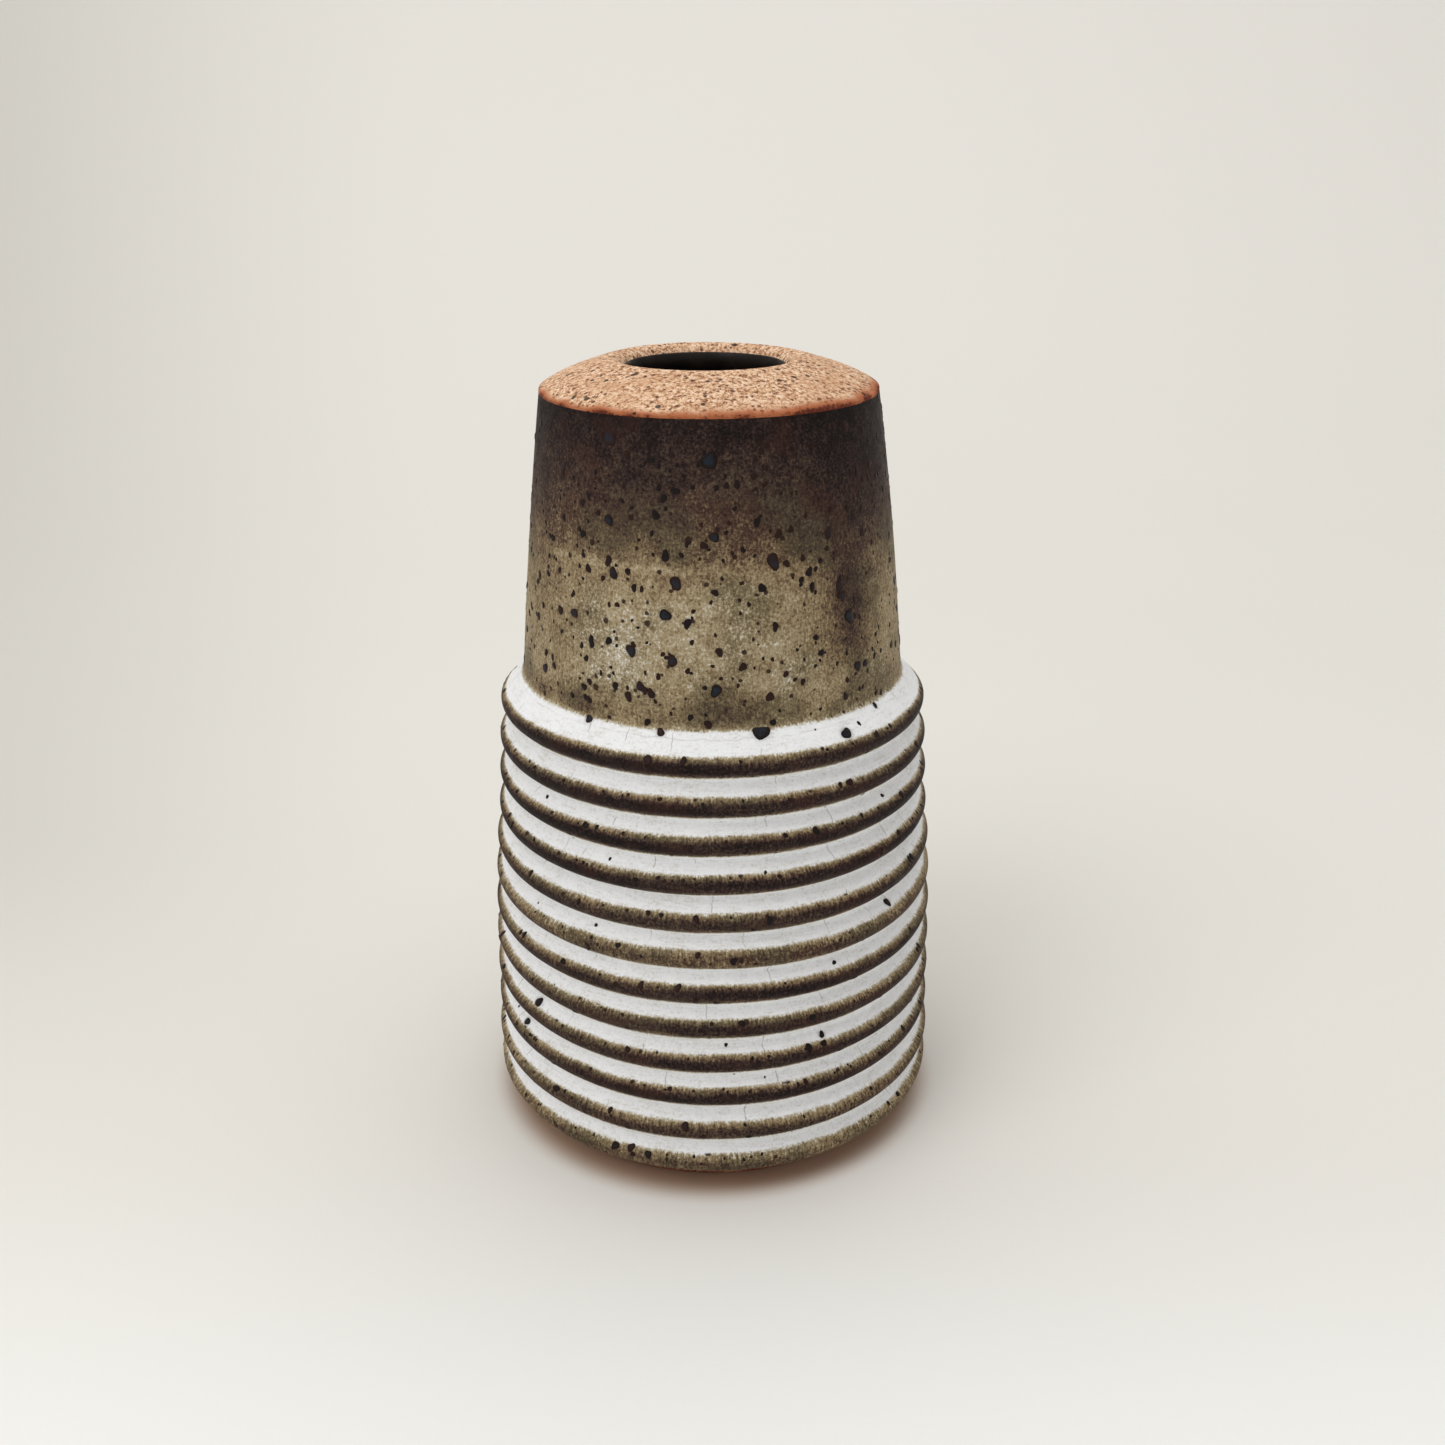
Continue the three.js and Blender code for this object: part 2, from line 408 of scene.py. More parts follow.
body_sides = 540
coat_depth = 0.45  # the glaze is 0.4 thick, and the clay keeps just clear of it
hidden_step = 0.9  # between rows of points under the glaze
mouth_radius = 12.9
lip_round = 2.75
edge_round = 0.35
foot_radius = 34.0
foot_ring_width = 6.0
foot_recess = 1.2
foot_round = 0.5
bare_edge = neck_top + Vector((0, 0.06))
shoulder_middle = Vector((neck_top.x - 7.05, lip_height - 1.28))
shoulder_control = Vector((neck_top.x - 2.8, lip_height - 2.57))

lip_centre = Vector((mouth_radius + lip_round, lip_height - lip_round))
lip = arc(lip_centre, lip_round, 180, 90, 16)
edge_centre = bare_edge + Vector((-edge_round, edge_round * 0.8))
edge_start = edge_centre + Vector((edge_round * 0.5, edge_round * 0.9))
shoulder = swing(lip[-1], lip[-1] + Vector((0.95, -0.07)), shoulder_middle, 24)
shoulder += swing(shoulder_middle, shoulder_control, edge_start, 34)[1:]
edge = arc(edge_centre, edge_round, 40, -10, 4)

shoulder_wall, neck_wall, barrel_wall = 4.4, 4.5, 5.0
coat_and_gap = 0.65  # the glaze outside and what parts it from the clay in the frame
liner_gap_in_frame = 0.25
cavity_fillet = 8.0
ceiling_drop = 1.4  # how far below the neck's upper end the wall turns in under the shoulder
floor_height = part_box("liner_glaze")[0].z / MM - liner_gap_in_frame
barrel_radius = [top.x - lower_nose - coat_and_gap - barrel_wall for top in crests]
fillet_centre = Vector((barrel_radius[-1] - cavity_fillet, floor_height + cavity_fillet))
cavity = [
    Vector((0, floor_height)),
    *arc(fillet_centre, cavity_fillet, -90, 0, 10),
    *[Vector((barrel_radius[rib], crests[rib].y)) for rib in (8, 4, 1)],
    Vector((neck_foot.x - neck_wall, neck_foot.y)),
    Vector((neck_top.x - neck_wall, neck_top.y - ceiling_drop)),
    Vector((mouth_radius, lip_height - shoulder_wall)),
]
throat = [cavity[-1].lerp(lip[0], share) for share in np.linspace(0.1, 0.9, 9)]
glazed = np.arange(marks["neck"], marks[f"white_{rib_count + 1:02d}"], hidden_step)
hidden = under(glazed, coat_depth)
under_rib = crests[-1] - Vector((lower_nose, lower_nose))
foot_out = Vector((foot_radius - foot_round, foot_round))
foot_in = Vector((foot_radius - foot_ring_width + foot_round, foot_round))
recess_edge = Vector((foot_in.x - foot_round - 0.9, foot_recess))
foot = [
    *swing(under_rib, Vector((foot_radius + 0.4, under_rib.y)), Vector((foot_radius, 1.5)), 12),
    *arc(foot_out, foot_round, 0, -90, 5),
    *arc(foot_in, foot_round, -90, -150, 3),
    recess_edge,
    *[recess_edge.lerp(Vector((0, foot_recess)), share) for share in np.linspace(0.04, 0.96, 24)],
    Vector((0, foot_recess)),
]
tucked_in = bare_edge - Vector((0, 0.05))
top_rows = [*cavity, *throat, *lip, *shoulder[1:], *edge, tucked_in]
body_rows = np.vstack([np.array(top_rows), hidden, np.array(foot)])

# Sand stands up through the bare shoulder, and turning has left faint rings on it and on the
# underside.
body_points, body_faces = spun(body_rows, body_sides)
radius = np.hypot(body_points[:, 0], body_points[:, 1])
height = body_points[:, 2]
sand_height, ring_height, foot_ring_height = 0.035, 0.0048, 0.05
bare = (height > neck_top.y) & (radius > mouth_radius - 0.3)
for i in np.flatnonzero(bare):
    at = Vector(body_points[i])
    grit = noise.noise(at * 1.6) + 0.6 * noise.noise(at * 3.4)
    ring = math.sin(radius[i] * 4.1 + 0.6 * noise.noise(at * 0.3))
    body_points[i, 2] += sand_height * grit + ring_height * ring
under_foot = (height <= foot_recess + 0.01) & (radius < recess_edge.x)
body_points[under_foot, 2] += foot_ring_height * np.sin(radius[under_foot] * 2.6)

# Three readings for the clay's colour: the orange glow at the shoulder's edge, which reaches
# further on one side, the flash on the foot, and the darker inside of the lip.
to_edge = np.hypot(radius - bare_edge.x, height - bare_edge.y)
glow_reach = 1.45 + 0.35 * np.sin(np.arctan2(body_points[:, 0], -body_points[:, 1]) - 0.5)
glow = np.where(height > neck_top.y - 0.5, np.exp(-((to_edge / glow_reach) ** 2)), 0)
foot_flash = np.clip((8 - height) / 6, 0, 1)
inside = np.clip((lip_height - 1.2 - height) / 3, 0, 1) * (radius < mouth_radius + 0.4)

clay = Recipe("bare_stoneware")
sand = clay.clouds(0.7, detail=4, roughness=0.85)
patches = clay.clouds(7, detail=2)
base = clay.scale_of(
    sand,
    (0.34, paint(88, 52, 34)),
    (0.42, paint(160, 108, 76)),
    (0.49, paint(220, 175, 137)),
    (0.57, paint(248, 213, 180)),
    (0.68, paint(255, 240, 224)),
)
warm = clay.blend(clay.step(patches, 0.45, 0.75, 0, 0.35), base, paint(206, 154, 114))
gold_grains = clay.grains(0.9, 0.28, 0.5, seed=3.1)
brown_grains = clay.grains(1.0, 0.42, 0.5, seed=9.2)
black_grains = clay.grains(2.2, 0.55, 0.42, seed=5.7)
warm = clay.blend(clay.sum("MULTIPLY", gold_grains, 0.5), warm, paint(186, 126, 84))
warm = clay.blend(clay.sum("MULTIPLY", brown_grains, 0.85), warm, paint(98, 60, 42))
halo = clay.sum("ADD", clay.reading("glow"), clay.step(sand, 0.3, 0.7, -0.2, 0.2))
halo = clay.sum("ADD", halo, clay.step(patches, 0.35, 0.65, -0.26, 0.16))
warm = clay.blend(clay.step(halo, 0.12, 0.85, 0, 0.88), warm, paint(180, 98, 56))
warm = clay.blend(clay.step(halo, 0.78, 1.08), warm, paint(98, 41, 25))
flash = clay.sum("MULTIPLY", clay.reading("flash"), clay.step(patches, 0.3, 0.7, 0.7, 1.0))
warm = clay.blend(flash, warm, paint(124, 60, 36))
warm = clay.blend(clay.sum("MULTIPLY", clay.reading("inside"), 0.5), warm, paint(110, 72, 48))
warm = clay.blend(clay.sum("MULTIPLY", black_grains, 0.9), warm, paint(44, 36, 33))
grit = clay.sum("ADD", sand, clay.sum("MULTIPLY", clay.clouds(0.16, detail=2), 0.5))
pits = clay.sum("SUBTRACT", grit, clay.sum("MULTIPLY", brown_grains, 0.4))
bare_clay = clay.finish(warm, 0.88, clay.relief(pits, 0.16))
clay.shader.inputs["Specular IOR Level"].default_value = 0.25

set_down(
    "clay_body",
    body_points,
    body_faces,
    [bare_clay],
    {"glow": glow, "flash": foot_flash, "inside": inside},
    "stoneware_body",
)


# ---- Liner glaze -------------------------------------------------------------------------
# A dark satin glaze poured in and swilled round, then tipped out, so that the vase holds
# water. It coats the whole inside, up to a third of the way round the lip.

liner_sides = 240
liner_gap, liner_depth = 0.1, 0.5


def stood_off(points, gap):
    """An outline moved to its left by a gap."""
    points = np.array([tuple(p) for p in points])
    run = np.gradient(points, axis=0)
    run /= np.linalg.norm(run, axis=1)[:, None]
    moved = points + gap * np.stack([-run[:, 1], run[:, 0]], axis=1)
    moved[0, 0] = 0
    return moved


wall = []
for a, b in zip(cavity, cavity[1:]):
    count = max(1, round((b - a).length / 2.5))
    wall += [a.lerp(b, share) for share in np.arange(count) / count]
wall += [cavity[-1], *lip[:6]]
face, back = stood_off(wall, liner_depth), stood_off(wall, liner_gap)
liner_rows = [*face, *back[::-1]]
liner_points, liner_faces = spun(liner_rows, liner_sides)

inner = Recipe("dark_liner_glaze")
pool = inner.scale_of(
    inner.clouds(5, detail=3),
    (0.3, paint(18, 14, 13)),
    (0.55, paint(30, 23, 19)),
    (0.75, paint(52, 41, 32)),
)
flecks = inner.grains(2.2, 0.35, 0.5, seed=1.4)
pool = inner.blend(inner.sum("MULTIPLY", flecks, 0.8), pool, paint(12, 9, 8))
sheen = inner.step(inner.clouds(3), 0.3, 0.7, 0.4, 0.55)
dark_liner = inner.finish(pool, sheen, inner.relief(inner.clouds(1.2), 0.05))
inner.shader.inputs["Specular IOR Level"].default_value = 0.2

set_down(
    "liner_coat", liner_points, liner_faces, [dark_liner], {}, "liner_glaze"
)


# ---- Neck glaze --------------------------------------------------------------------------
# One satin ash glaze covers the outside, dipped mouth down. It fires white where thick, tan
# where thinner and iron brown where thinnest, as high on the neck. Iron grains in the clay have
# melted up through it as dark spots. The larger ones have a blue-black heart, partly the iron's
# own colour and partly a painted reflection on their crowns.

coat_sides = 420
coat_thickness = 0.4
pot_radius = 38  # about half way down the barrel


def lie_of(mix, comb, mottle):
    """How thick the glaze lies once it has streaked and clouded, from 0 to 1."""
    thick = mix.reading("thick")
    combed = mix.clouds(0.36, mix.unrolled(pot_radius, 0.3), detail=2, roughness=0.7)
    fringe = mix.sum("MULTIPLY", thick, mix.sum("SUBTRACT", 0.92, thick, clamp=True))
    fringe = mix.sum("MULTIPLY", fringe, 5 * comb)
    shift = mix.sum("MULTIPLY", mix.sum("SUBTRACT", combed, 0.5), fringe)
    middle = mix.clouds(1.5, detail=2)
    broad = mix.clouds(5, mix.unrolled(pot_radius, 1.4), detail=3, roughness=0.6)
    clouding = mix.sum("MULTIPLY_ADD", middle, 0.6, mix.sum("SUBTRACT", broad, 0.8))
    clouding = mix.sum("MULTIPLY", clouding, mottle)
    fine = mix.clouds(0.45, detail=3, roughness=0.8)
    coarse = mix.step(thick, 0.7, 0.95, 0.95, 0.42)
    grain = mix.sum("MULTIPLY", mix.sum("SUBTRACT", fine, 0.5), coarse)
    rings = mix.clouds(2.5, mix.unrolled(pot_radius, 9), detail=2)
    rings = mix.sum("SUBTRACT", rings, 0.5)
    grain = mix.sum("MULTIPLY_ADD", rings, mix.step(thick, 0.7, 0.92, 0, 0.22), grain)
    lie = mix.sum("ADD", thick, shift)
    return mix.sum("ADD", lie, mix.sum("ADD", clouding, grain), clamp=True)


def crazing(mix):
    """Fine cracks, which show only in the white: short lines down the slope, and a faint wavy
    one along each groove."""
    x, y = mix.part(mix.place, 0), mix.part(mix.place, 1)
    turn = mix.sum("ARCTAN2", x, mix.sum("MULTIPLY", y, -1.0))
    meander = mix.sum("MULTIPLY", mix.clouds(1.6, detail=1), 0.16)
    across = mix.sum("ADD", mix.sum("MULTIPLY_ADD", turn, 5.0, meander), mix.reading("lot"))
    web = {"W": across, "Scale": 1.0}
    cell = mix.add("ShaderNodeTexVoronoi", web, voronoi_dimensions="1D")
    lines = mix.step(cell.outputs["Distance"], 0.004, 0.018, 1, 0)
    lines = mix.sum("MULTIPLY", lines, mix.step(mix.clouds(4, detail=1), 0.5, 0.62))
    drift = mix.clouds(3, mix.unrolled(pot_radius, 0.1), detail=2)
    wavy = mix.sum("ADD", mix.reading("down"), mix.sum("MULTIPLY_ADD", drift, 0.3, -0.48))
    wavy = mix.step(mix.sum("ABSOLUTE", wavy), 0.01, 0.035, 0.45, 0)
    wavy = mix.sum("MULTIPLY", wavy, mix.step(mix.clouds(3.5), 0.42, 0.62))
    white = mix.step(mix.reading("thick"), 0.75, 0.92)
    return mix.sum("MULTIPLY", mix.sum("MAXIMUM", lines, wavy), white)


def specks(mix):
    """The finest iron, which lies in the glaze itself."""
    ragged = mix.add("ShaderNodeTexNoise", {"Vector": mix.place, "Scale": 1.6}).outputs["Color"]
    ragged = mix.along("ADD", mix.place, mix.along("SCALE", ragged, Scale=0.4))
    small = mix.grains(1.8, 0.45, 0.55, ragged, seed=1.0)
    large = mix.grains(3.0, 0.6, 0.5, ragged, seed=4.0)
    shows = mix.step(mix.reading("thick"), 0.72, 0.9, 0.92, 0.06)
    return mix.sum("MULTIPLY", mix.sum("MAXIMUM", small, large), shows)


def glaze(name, comb, mottle, tinge):
    """A coat that is coloured by how thick it lies. comb is how far its edges streak up and
    down, mottle how far it clouds, and tinge how green it turns in patches."""
    mix = Recipe(name)
    amount = lie_of(mix, comb, mottle)
    colour = mix.scale_of(
        amount,
        (0.00, paint(20, 13, 11)),
        (0.12, paint(42, 30, 28)),
        (0.25, paint(68, 51, 44)),
        (0.38, paint(98, 79, 61)),
        (0.50, paint(133, 114, 85)),
        (0.62, paint(162, 144, 112)),
        (0.72, paint(179, 166, 140)),
        (0.82, paint(216, 212, 204)),
        (0.92, paint(239, 239, 240)),
        (1.00, paint(246, 246, 247)),
    )
    tan = mix.sum("MULTIPLY", mix.step(amount, 0.2, 0.35), mix.step(amount, 0.55, 0.75, 1, 0))
    green = mix.sum("MULTIPLY", mix.step(mix.clouds(10, detail=1), 0.42, 0.66, 0, tinge), tan)
    colour = mix.blend(green, colour, paint(58, 60, 44))
    thin = mix.step(amount, 0.3, 0.5, 0.32, 0)
    red = mix.sum("MULTIPLY", mix.step(mix.clouds(8, detail=1), 0.5, 0.7), thin)
    colour = mix.blend(red, colour, paint(66, 38, 30))
    craze = crazing(mix)
    colour = mix.blend(mix.sum("MULTIPLY", craze, 0.48), colour, paint(112, 100, 92))
    dots = specks(mix)
    colour = mix.blend(dots, colour, paint(42, 24, 19))
    halo = mix.sum("MULTIPLY", mix.reading("iron"), 0.6)
    colour = mix.blend(halo, colour, paint(58, 38, 28))

    skin = mix.sum("ADD", mix.clouds(0.9, detail=2), mix.sum("MULTIPLY", dots, 0.3))
    skin = mix.sum("SUBTRACT", skin, mix.sum("MULTIPLY", craze, 0.5))
    sheen = mix.step(mix.clouds(2.2, detail=2), 0.3, 0.7, 0.52, 0.64)
    mix.shader.inputs["Specular IOR Level"].default_value = 0.1
    return mix.finish(colour, sheen, mix.relief(skin, 0.05))


# How thick the glaze lies down the neck: share of the way down, and thickness.
neck_lay = [
    (0.0, 0.03), (0.04, 0.09), (0.12, 0.14), (0.22, 0.21), (0.32, 0.30), (0.40, 0.39),
    (0.46, 0.45), (0.49, 0.50), (0.60, 0.56), (0.75, 0.59), (0.88, 0.57), (0.95, 0.50),
    (0.985, 0.52),
]
# How thick it lies on each rib's crest, from the top rib down.
rib_tone = [0.05, 0.06, 0.04, 0.05, 0.14, 0.30, 0.10, 0.16, 0.13, 0.11, 0.24, 0.36]

# The same along the whole outline, as distance and thickness.
neck_length = marks["white_01"] - marks["neck"]
lay = [(marks["neck"] + share * neck_length, thick) for share, thick in neck_lay]
lay += [(marks["white_01"] + 0.1, 0.62), (marks["white_01"] + 0.7, 0.95)]
for rib, tone in enumerate(rib_tone):
    start = marks[f"rib_{rib + 1:02d}"]
    top = crest_marks[rib]
    end = marks[f"white_{rib + 2:02d}"]
    lay += [
        (start - 0.45, 0.94),
        (start - 0.10, 0.72),
        (start + 0.25, 0.48 + 0.25 * tone),
        (start + 0.70, 0.31 + 0.55 * tone),
        (start + 1.10, tone + 0.10),
        (top - 0.1, tone + 0.03),
        (top + 0.9, tone + 0.03),
        (top + 1.35, 0.13 + 0.75 * tone),
        (top + 1.85, 0.25 + 0.5 * tone),
        (end, 0.44),
        (end + 0.4, 0.80),
        (end + 0.9, 0.94),
    ]
lay = np.array(sorted(lay))

# Places on the neck where it lies thicker or thinner: angle from the front and its spread in
# degrees, height and its spread, and how much. The thin one 0.8 high is a line where two dips met.
neck_patches = [
    (44, 9, 99, 8, -0.28), (45, 14, 93, 4, -0.08), (54, 22, 113, 14, -0.13),
    (8, 16, 111, 4, -0.06), (-28, 34, 106.3, 0.8, 0.13), (-22, 12, 95, 8, 0.06),
    (-32, 13, 93, 6, 0.06), (-46, 8, 94, 6, -0.06), (-62, 12, 96, 9, -0.05),
    (22, 8, 89, 3, 0.05), (-5, 14, 99, 5, 0.03), (4, 9, 85, 3, -0.14), (-40, 9, 83, 2, -0.14),
    (100, 18, 96, 9, 0.08), (118, 10, 84.5, 3, -0.12), (140, 16, 104, 8, -0.14),
    (170, 20, 92, 6, 0.12), (-176, 9, 84, 2.5, -0.10), (-150, 18, 100, 9, -0.12),
    (-110, 16, 94, 7, 0.10), (-85, 9, 85, 3, -0.12),
]


def thickness(distance, angle):
    """How thick the glaze lies at distances along the outline, for each angle round it. Its
    edges wander up and down as they go round, furthest on the neck."""
    slow = 0.6 * np.sin(2 * angle + 0.8) + 0.5 * np.sin(3 * angle + 2.1)
    slow += 0.35 * np.sin(7 * angle + 0.4) + 0.2 * np.sin(11 * angle + 1.7)
    quick = 0.6 * np.sin(19 * angle) + 0.5 * np.sin(31 * angle + 1) + 0.4 * np.sin(53 * angle + 2)
    above_ledge = np.interp(distance, [marks["white_01"] - 6, marks["white_01"]], [1, 0])
    wander = np.outer(0.12 + 1.1 * above_ledge, slow)
    wander += np.outer(np.interp(above_ledge, [0, 0.02, 1], [0.06, 0.25, 0.1]), quick)
    thick = np.interp(distance[:, None] + wander, lay[:, 0], lay[:, 1])
    height = finished(distance)[:, 1:]
    degrees = np.degrees(angle)
    on_neck = (distance < marks["white_01"])[:, None]
    for centre, spread, middle, rise, amount in neck_patches:
        apart = (degrees - centre + 180) % 360 - 180
        patch = np.exp(-(((height - middle) / rise) ** 2)) * np.exp(-((apart / spread) ** 2))
        thick += amount * patch * on_neck
    on_rib = np.clip((0.75 - thick) / 0.4, 0, 1) * (distance > marks["white_01"] + 1)[:, None]
    uneven = 0.05 * np.sin(3 * angle + 0.9 * height) + 0.03 * np.sin(8 * angle + 1.7 * height)
    return thick + on_rib * uneven


random = np.random.default_rng(12)

iron = Recipe("melted_iron")
# The crown of each spot: blue-black iron, and a painted reflection.
heart_and_glint = iron.step(iron.reading("heart_and_glint"), 0.6, 0.95)
blue_heart_and_glint = iron.sum("MULTIPLY", heart_and_glint, iron.step(iron.clouds(0.8), 0.35, 0.6, 0.2, 0.9))
redder = iron.step(iron.clouds(6, detail=0), 0.4, 0.6)
spot_colour = iron.blend(redder, paint(22, 14, 12), paint(40, 20, 15))
spot_colour = iron.blend(blue_heart_and_glint, spot_colour, paint(30, 39, 49))
spot_sheen = iron.step(iron.clouds(0.6), 0.3, 0.7, 0.4, 0.6)
melted_iron = iron.finish(spot_colour, spot_sheen, iron.relief(iron.clouds(0.3), 0.03))
iron.shader.inputs["Specular IOR Level"].default_value = 0.15


def bead(angle, distance, width):
    """Points, faces and height shares of a melted iron grain that stands a little proud."""
    before, at, after = finished(distance + np.array([-0.05, 0, 0.05]))
    run = (after - before) / np.linalg.norm(after - before)
    out = Vector((math.sin(angle), -math.cos(angle), 0))
    sideways = Vector((math.cos(angle), math.sin(angle), 0))
    normal = out * -run[1] + Vector((0, 0, run[0]))
    down = out * run[0] + Vector((0, 0, run[1]))
    centre = out * at[0] + Vector((0, 0, at[1]))
    rise = min(0.13, 0.10 * width)
    spokes, levels = (16, 6) if width > 1 else (9, 4)
    lobes, pull = random.uniform(-3, 3, 2), random.uniform(1.0, 1.35)
    points, shares = [], []
    for level in range(1, levels):
        tilt = math.pi * level / levels
        for spoke in range(spokes):
            turn = 2 * math.pi * spoke / spokes
            ragged = 1 + 0.16 * math.sin(2 * turn + lobes[0])
            ragged += 0.11 * math.sin(3 * turn + lobes[1])
            flat = width / 2 * math.sin(tilt) * ragged
            side = sideways * math.cos(turn) * flat + down * math.sin(turn) * flat * pull
            points.append(centre + side + normal * rise * math.cos(tilt))
            shares.append(max(0.0, math.cos(tilt)))
    points += [centre + normal * rise, centre - normal * rise]
    shares += [1.0, 0.0]
    top, bottom = len(points) - 2, len(points) - 1
    faces = []
    for spoke in range(spokes):
        right = (spoke + 1) % spokes
        last = (levels - 2) * spokes
        faces.append([top, right, spoke])
        faces.append([bottom, last + spoke, last + right])
        for level in range(levels - 2):
            upper, lower = level * spokes, (level + 1) * spokes
            faces.append([upper + spoke, upper + right, lower + right, lower + spoke])
    return np.array([tuple(p) for p in points]), faces, shares


def coat(name, start, end, spacing, material, node, spots, lot=0.0):
    """A closed shell of glaze on a stretch of the outline, with its iron spots melted in.
    Each spot is its angle from the front in degrees, its distance along and its width. lot
    shifts its crazing, so that no two coats craze alike."""
    rows = np.linspace(start, end, max(2, round((end - start) / spacing)) + 1)
    back_rows = np.linspace(end, start, max(2, round((end - start) / (4 * spacing))) + 1)
    outline_rows = np.vstack([finished(rows), under(back_rows, coat_thickness)])
    points, faces = spun(outline_rows, coat_sides)
    along = np.concatenate([rows, back_rows])
    angle = np.linspace(0, 2 * math.pi, coat_sides, endpoint=False)
    thick = thickness(along, angle).ravel()
    down = np.repeat((along - start) / (end - start), coat_sides)
    halo = np.zeros((len(along), coat_sides))
    shells, heart_and_glint, of_material = [points], [np.zeros(len(points))], [0] * len(faces)
    count = len(points)
    for spot_angle, distance, width in spots:
        radius = finished(np.array([distance]))[0, 0]
        apart = (angle - math.radians(spot_angle) + math.pi) % (2 * math.pi) - math.pi
        off = np.hypot((apart * radius)[None, :], (along - distance)[:, None])
        if width > 0.9:
            halo = np.maximum(halo, np.exp(-((off / (0.62 * width)) ** 4)))
        more, sides, shares = bead(math.radians(spot_angle), distance, width)
        shells.append(more)
        # Each spot's crown takes its blue heart and painted reflection, in full on the larger
        # spots.
        heart_and_glint.append(np.array(shares) * (1.0 if width > 1.3 else 0.3))
        faces += [[corner + count for corner in side] for side in sides]
        of_material += [1] * len(sides)
        count += len(more)
    halo[len(rows):] = 0
    beads = count - len(points)
    readings = {
        "thick": np.concatenate([thick, np.zeros(beads)]),
        "down": np.concatenate([down, np.zeros(beads)]),
        "lot": np.full(count, lot),
        "iron": np.concatenate([halo.ravel(), np.zeros(beads)]),
        "heart_and_glint": np.concatenate(heart_and_glint),
    }
    materials = [material, melted_iron]
    piece = set_down(name, np.vstack(shells), faces, materials, readings, node, of_material)

    # Its two rims stay crisp, so that the next coat's surface runs on from it.
    ends = np.empty(2 * len(piece.data.edges), dtype=np.int64)
    piece.data.edges.foreach_get("vertices", ends)
    ring = ends.reshape(-1, 2) // coat_sides
    rim = (ring[:, 0] == ring[:, 1]) & np.isin(ring[:, 0], [0, len(rows) - 1])
    crisp = piece.data.attributes.new("sharp_edge", "BOOLEAN", "EDGE")
    crisp.data.foreach_set("value", rim)


def scattered(count, start, end, smallest, largest):
    """Spots thrown anywhere on a stretch, clear of its ends and mostly small."""
    clear = 0.2
    spots = []
    for _ in range(count):
        width = smallest + (largest - smallest) * random.random() ** 2
        angle = random.uniform(0, 360)
        spots.append((angle, random.uniform(start + clear, end - clear), width))
    return spots


neck_material = glaze("neck_ash_glaze", 0.3, 0.30, 0.4)

# The largest spots: angle from the front in degrees, height and width.
neck_spots = [
    (-32, 125, 2.0), (0, 122.5, 2.2), (-31, 113, 1.4), (-16, 114.5, 1.2), (1, 111.5, 1.4),
    (20, 111.5, 1.2), (24, 112, 0.9), (37, 110.5, 1.4), (-13, 108.5, 1.3), (18, 107.5, 2.0),
    (22, 107, 1.1), (-29, 105, 1.5), (-38, 105, 1.1), (-10, 104.5, 1.7), (-13, 99.5, 1.7),
    (-43, 97.5, 1.5), (40, 102, 1.6), (41, 100.5, 1.4), (43, 97, 1.8), (-23, 93.5, 1.6),
    (-11, 92.5, 1.7), (-36, 93.5, 1.1), (18, 97.5, 1.1), (2, 94, 1.2), (-20, 88, 1.4),
    (1, 88, 1.8), (46, 88.5, 1.5), (-57, 86.5, 1.6), (-63, 101, 1.2), (30, 103, 1.0),
    (8, 119, 1.0), (-55, 108, 1.1), (-18, 82.5, 1.1), (95, 118, 1.9), (120, 99, 1.7),
    (152, 108, 2.1), (175, 91, 1.6), (-165, 121, 1.5), (-140, 96, 2.0), (-118, 110, 1.4),
    (-95, 90, 1.8), (82, 87, 1.6), (205, 102, 1.3), (132, 85, 1.8),
]
neck_heights = finished(distances)[:, 1]


def neck_distance(height):
    return float(np.interp(-height, -neck_heights, distances))


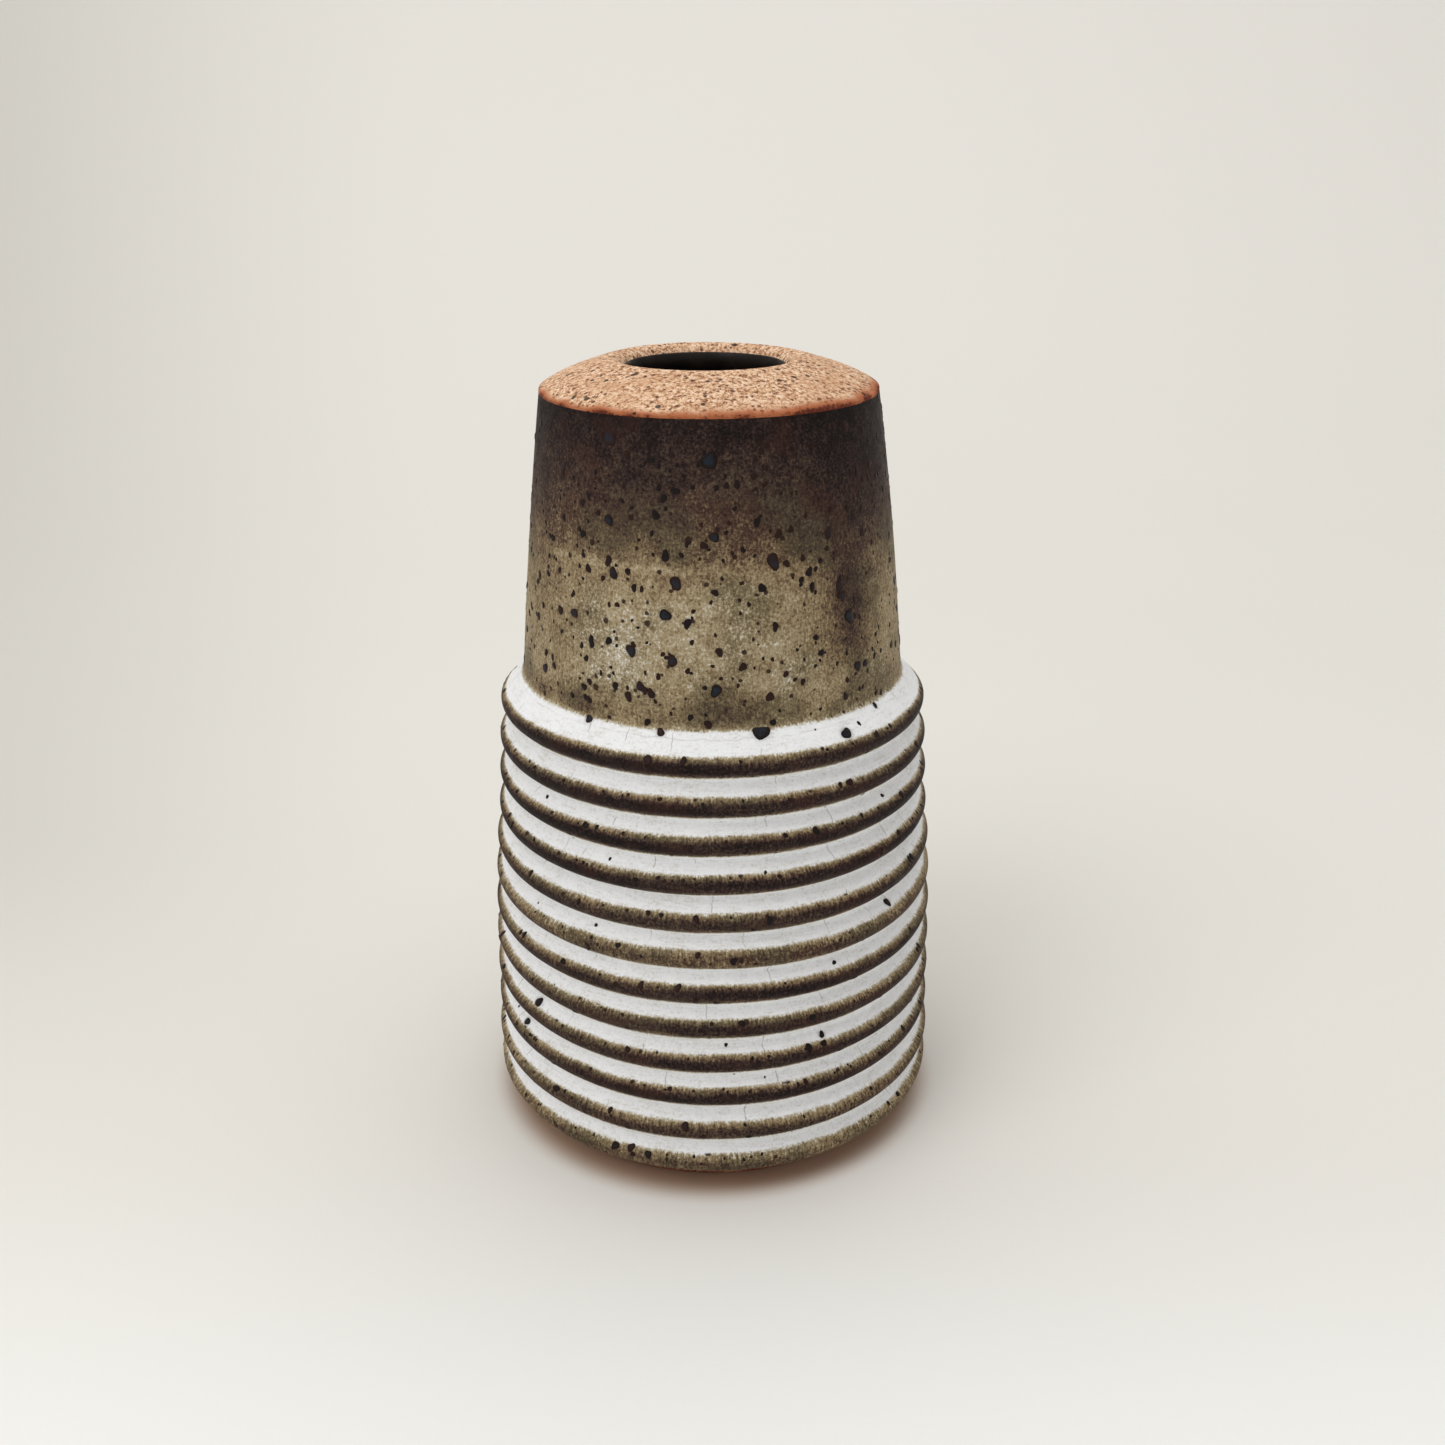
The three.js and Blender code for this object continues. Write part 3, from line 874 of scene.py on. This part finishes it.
large_spots = [(angle, neck_distance(height), width) for angle, height, width in neck_spots]
fine_spots = scattered(850, marks["neck"], marks["white_01"], 0.5, 1.25)
coat(
    "neck_coat",
    marks["neck"],
    marks["white_01"],
    0.42,
    neck_material,
    "neck_glaze",
    large_spots + fine_spots,
)


# ---- White glaze -------------------------------------------------------------------------
# Twelve rings where the glaze has pooled: the sloping ledge, and the floor of each groove
# from the rib above it down to where the next rib's ramp starts to break.

barrel_glaze = {"comb": 0.7, "mottle": 0.14, "tinge": 0.4}
white_material = glaze("white_pooled_glaze", **barrel_glaze)

# Spots that stand alone in the white, by ring: angle, share of the way down it, and width.
white_spots = {
    1: [(13, 0.10, 2.5), (-14, 0.14, 1.3), (-36, 0.12, 1.4), (37, 0.72, 1.8), (52, 0.2, 1.0)],
    3: [(43, 0.2, 0.7)],
    6: [(51, 0.74, 1.3), (-31, 0.6, 0.6)],
    9: [(-52, 0.8, 1.5), (28, 0.75, 1.0)],
    10: [(-59, 0.8, 1.4)],
}

for rib in range(rib_count):
    number = f"{rib + 1:02d}"
    start, end = marks[f"white_{number}"], marks[f"rib_{number}"]
    placed = white_spots.get(rib + 1, [])
    placed = [(angle, start + share * (end - start), width) for angle, share, width in placed]
    coat(
        f"white_coat_{number}",
        start,
        end,
        0.3,
        white_material,
        f"white_glaze_{number}",
        placed + scattered(5, start, end, 0.35, 0.9),
        lot=1.37 * rib,
    )


# ---- Rib glaze ---------------------------------------------------------------------------
# Twelve rings where the glaze has run off the turned edge of a rib and broken dark, from a
# combed fringe on the ramp, over the crest and round under the nose.

rib_material = glaze("rib_broken_glaze", **barrel_glaze)
spot_sizes = (0.45, 1.3)

for rib in range(rib_count):
    number = f"{rib + 1:02d}"
    start, end = marks[f"rib_{number}"], marks[f"white_{rib + 2:02d}"]
    on_fringe = scattered(30, start, start + break_length, *spot_sizes)
    anywhere = scattered(20, start, end, *spot_sizes)
    coat(
        f"rib_coat_{number}",
        start,
        end,
        0.25,
        rib_material,
        f"rib_glaze_{number}",
        on_fringe + anywhere,
    )
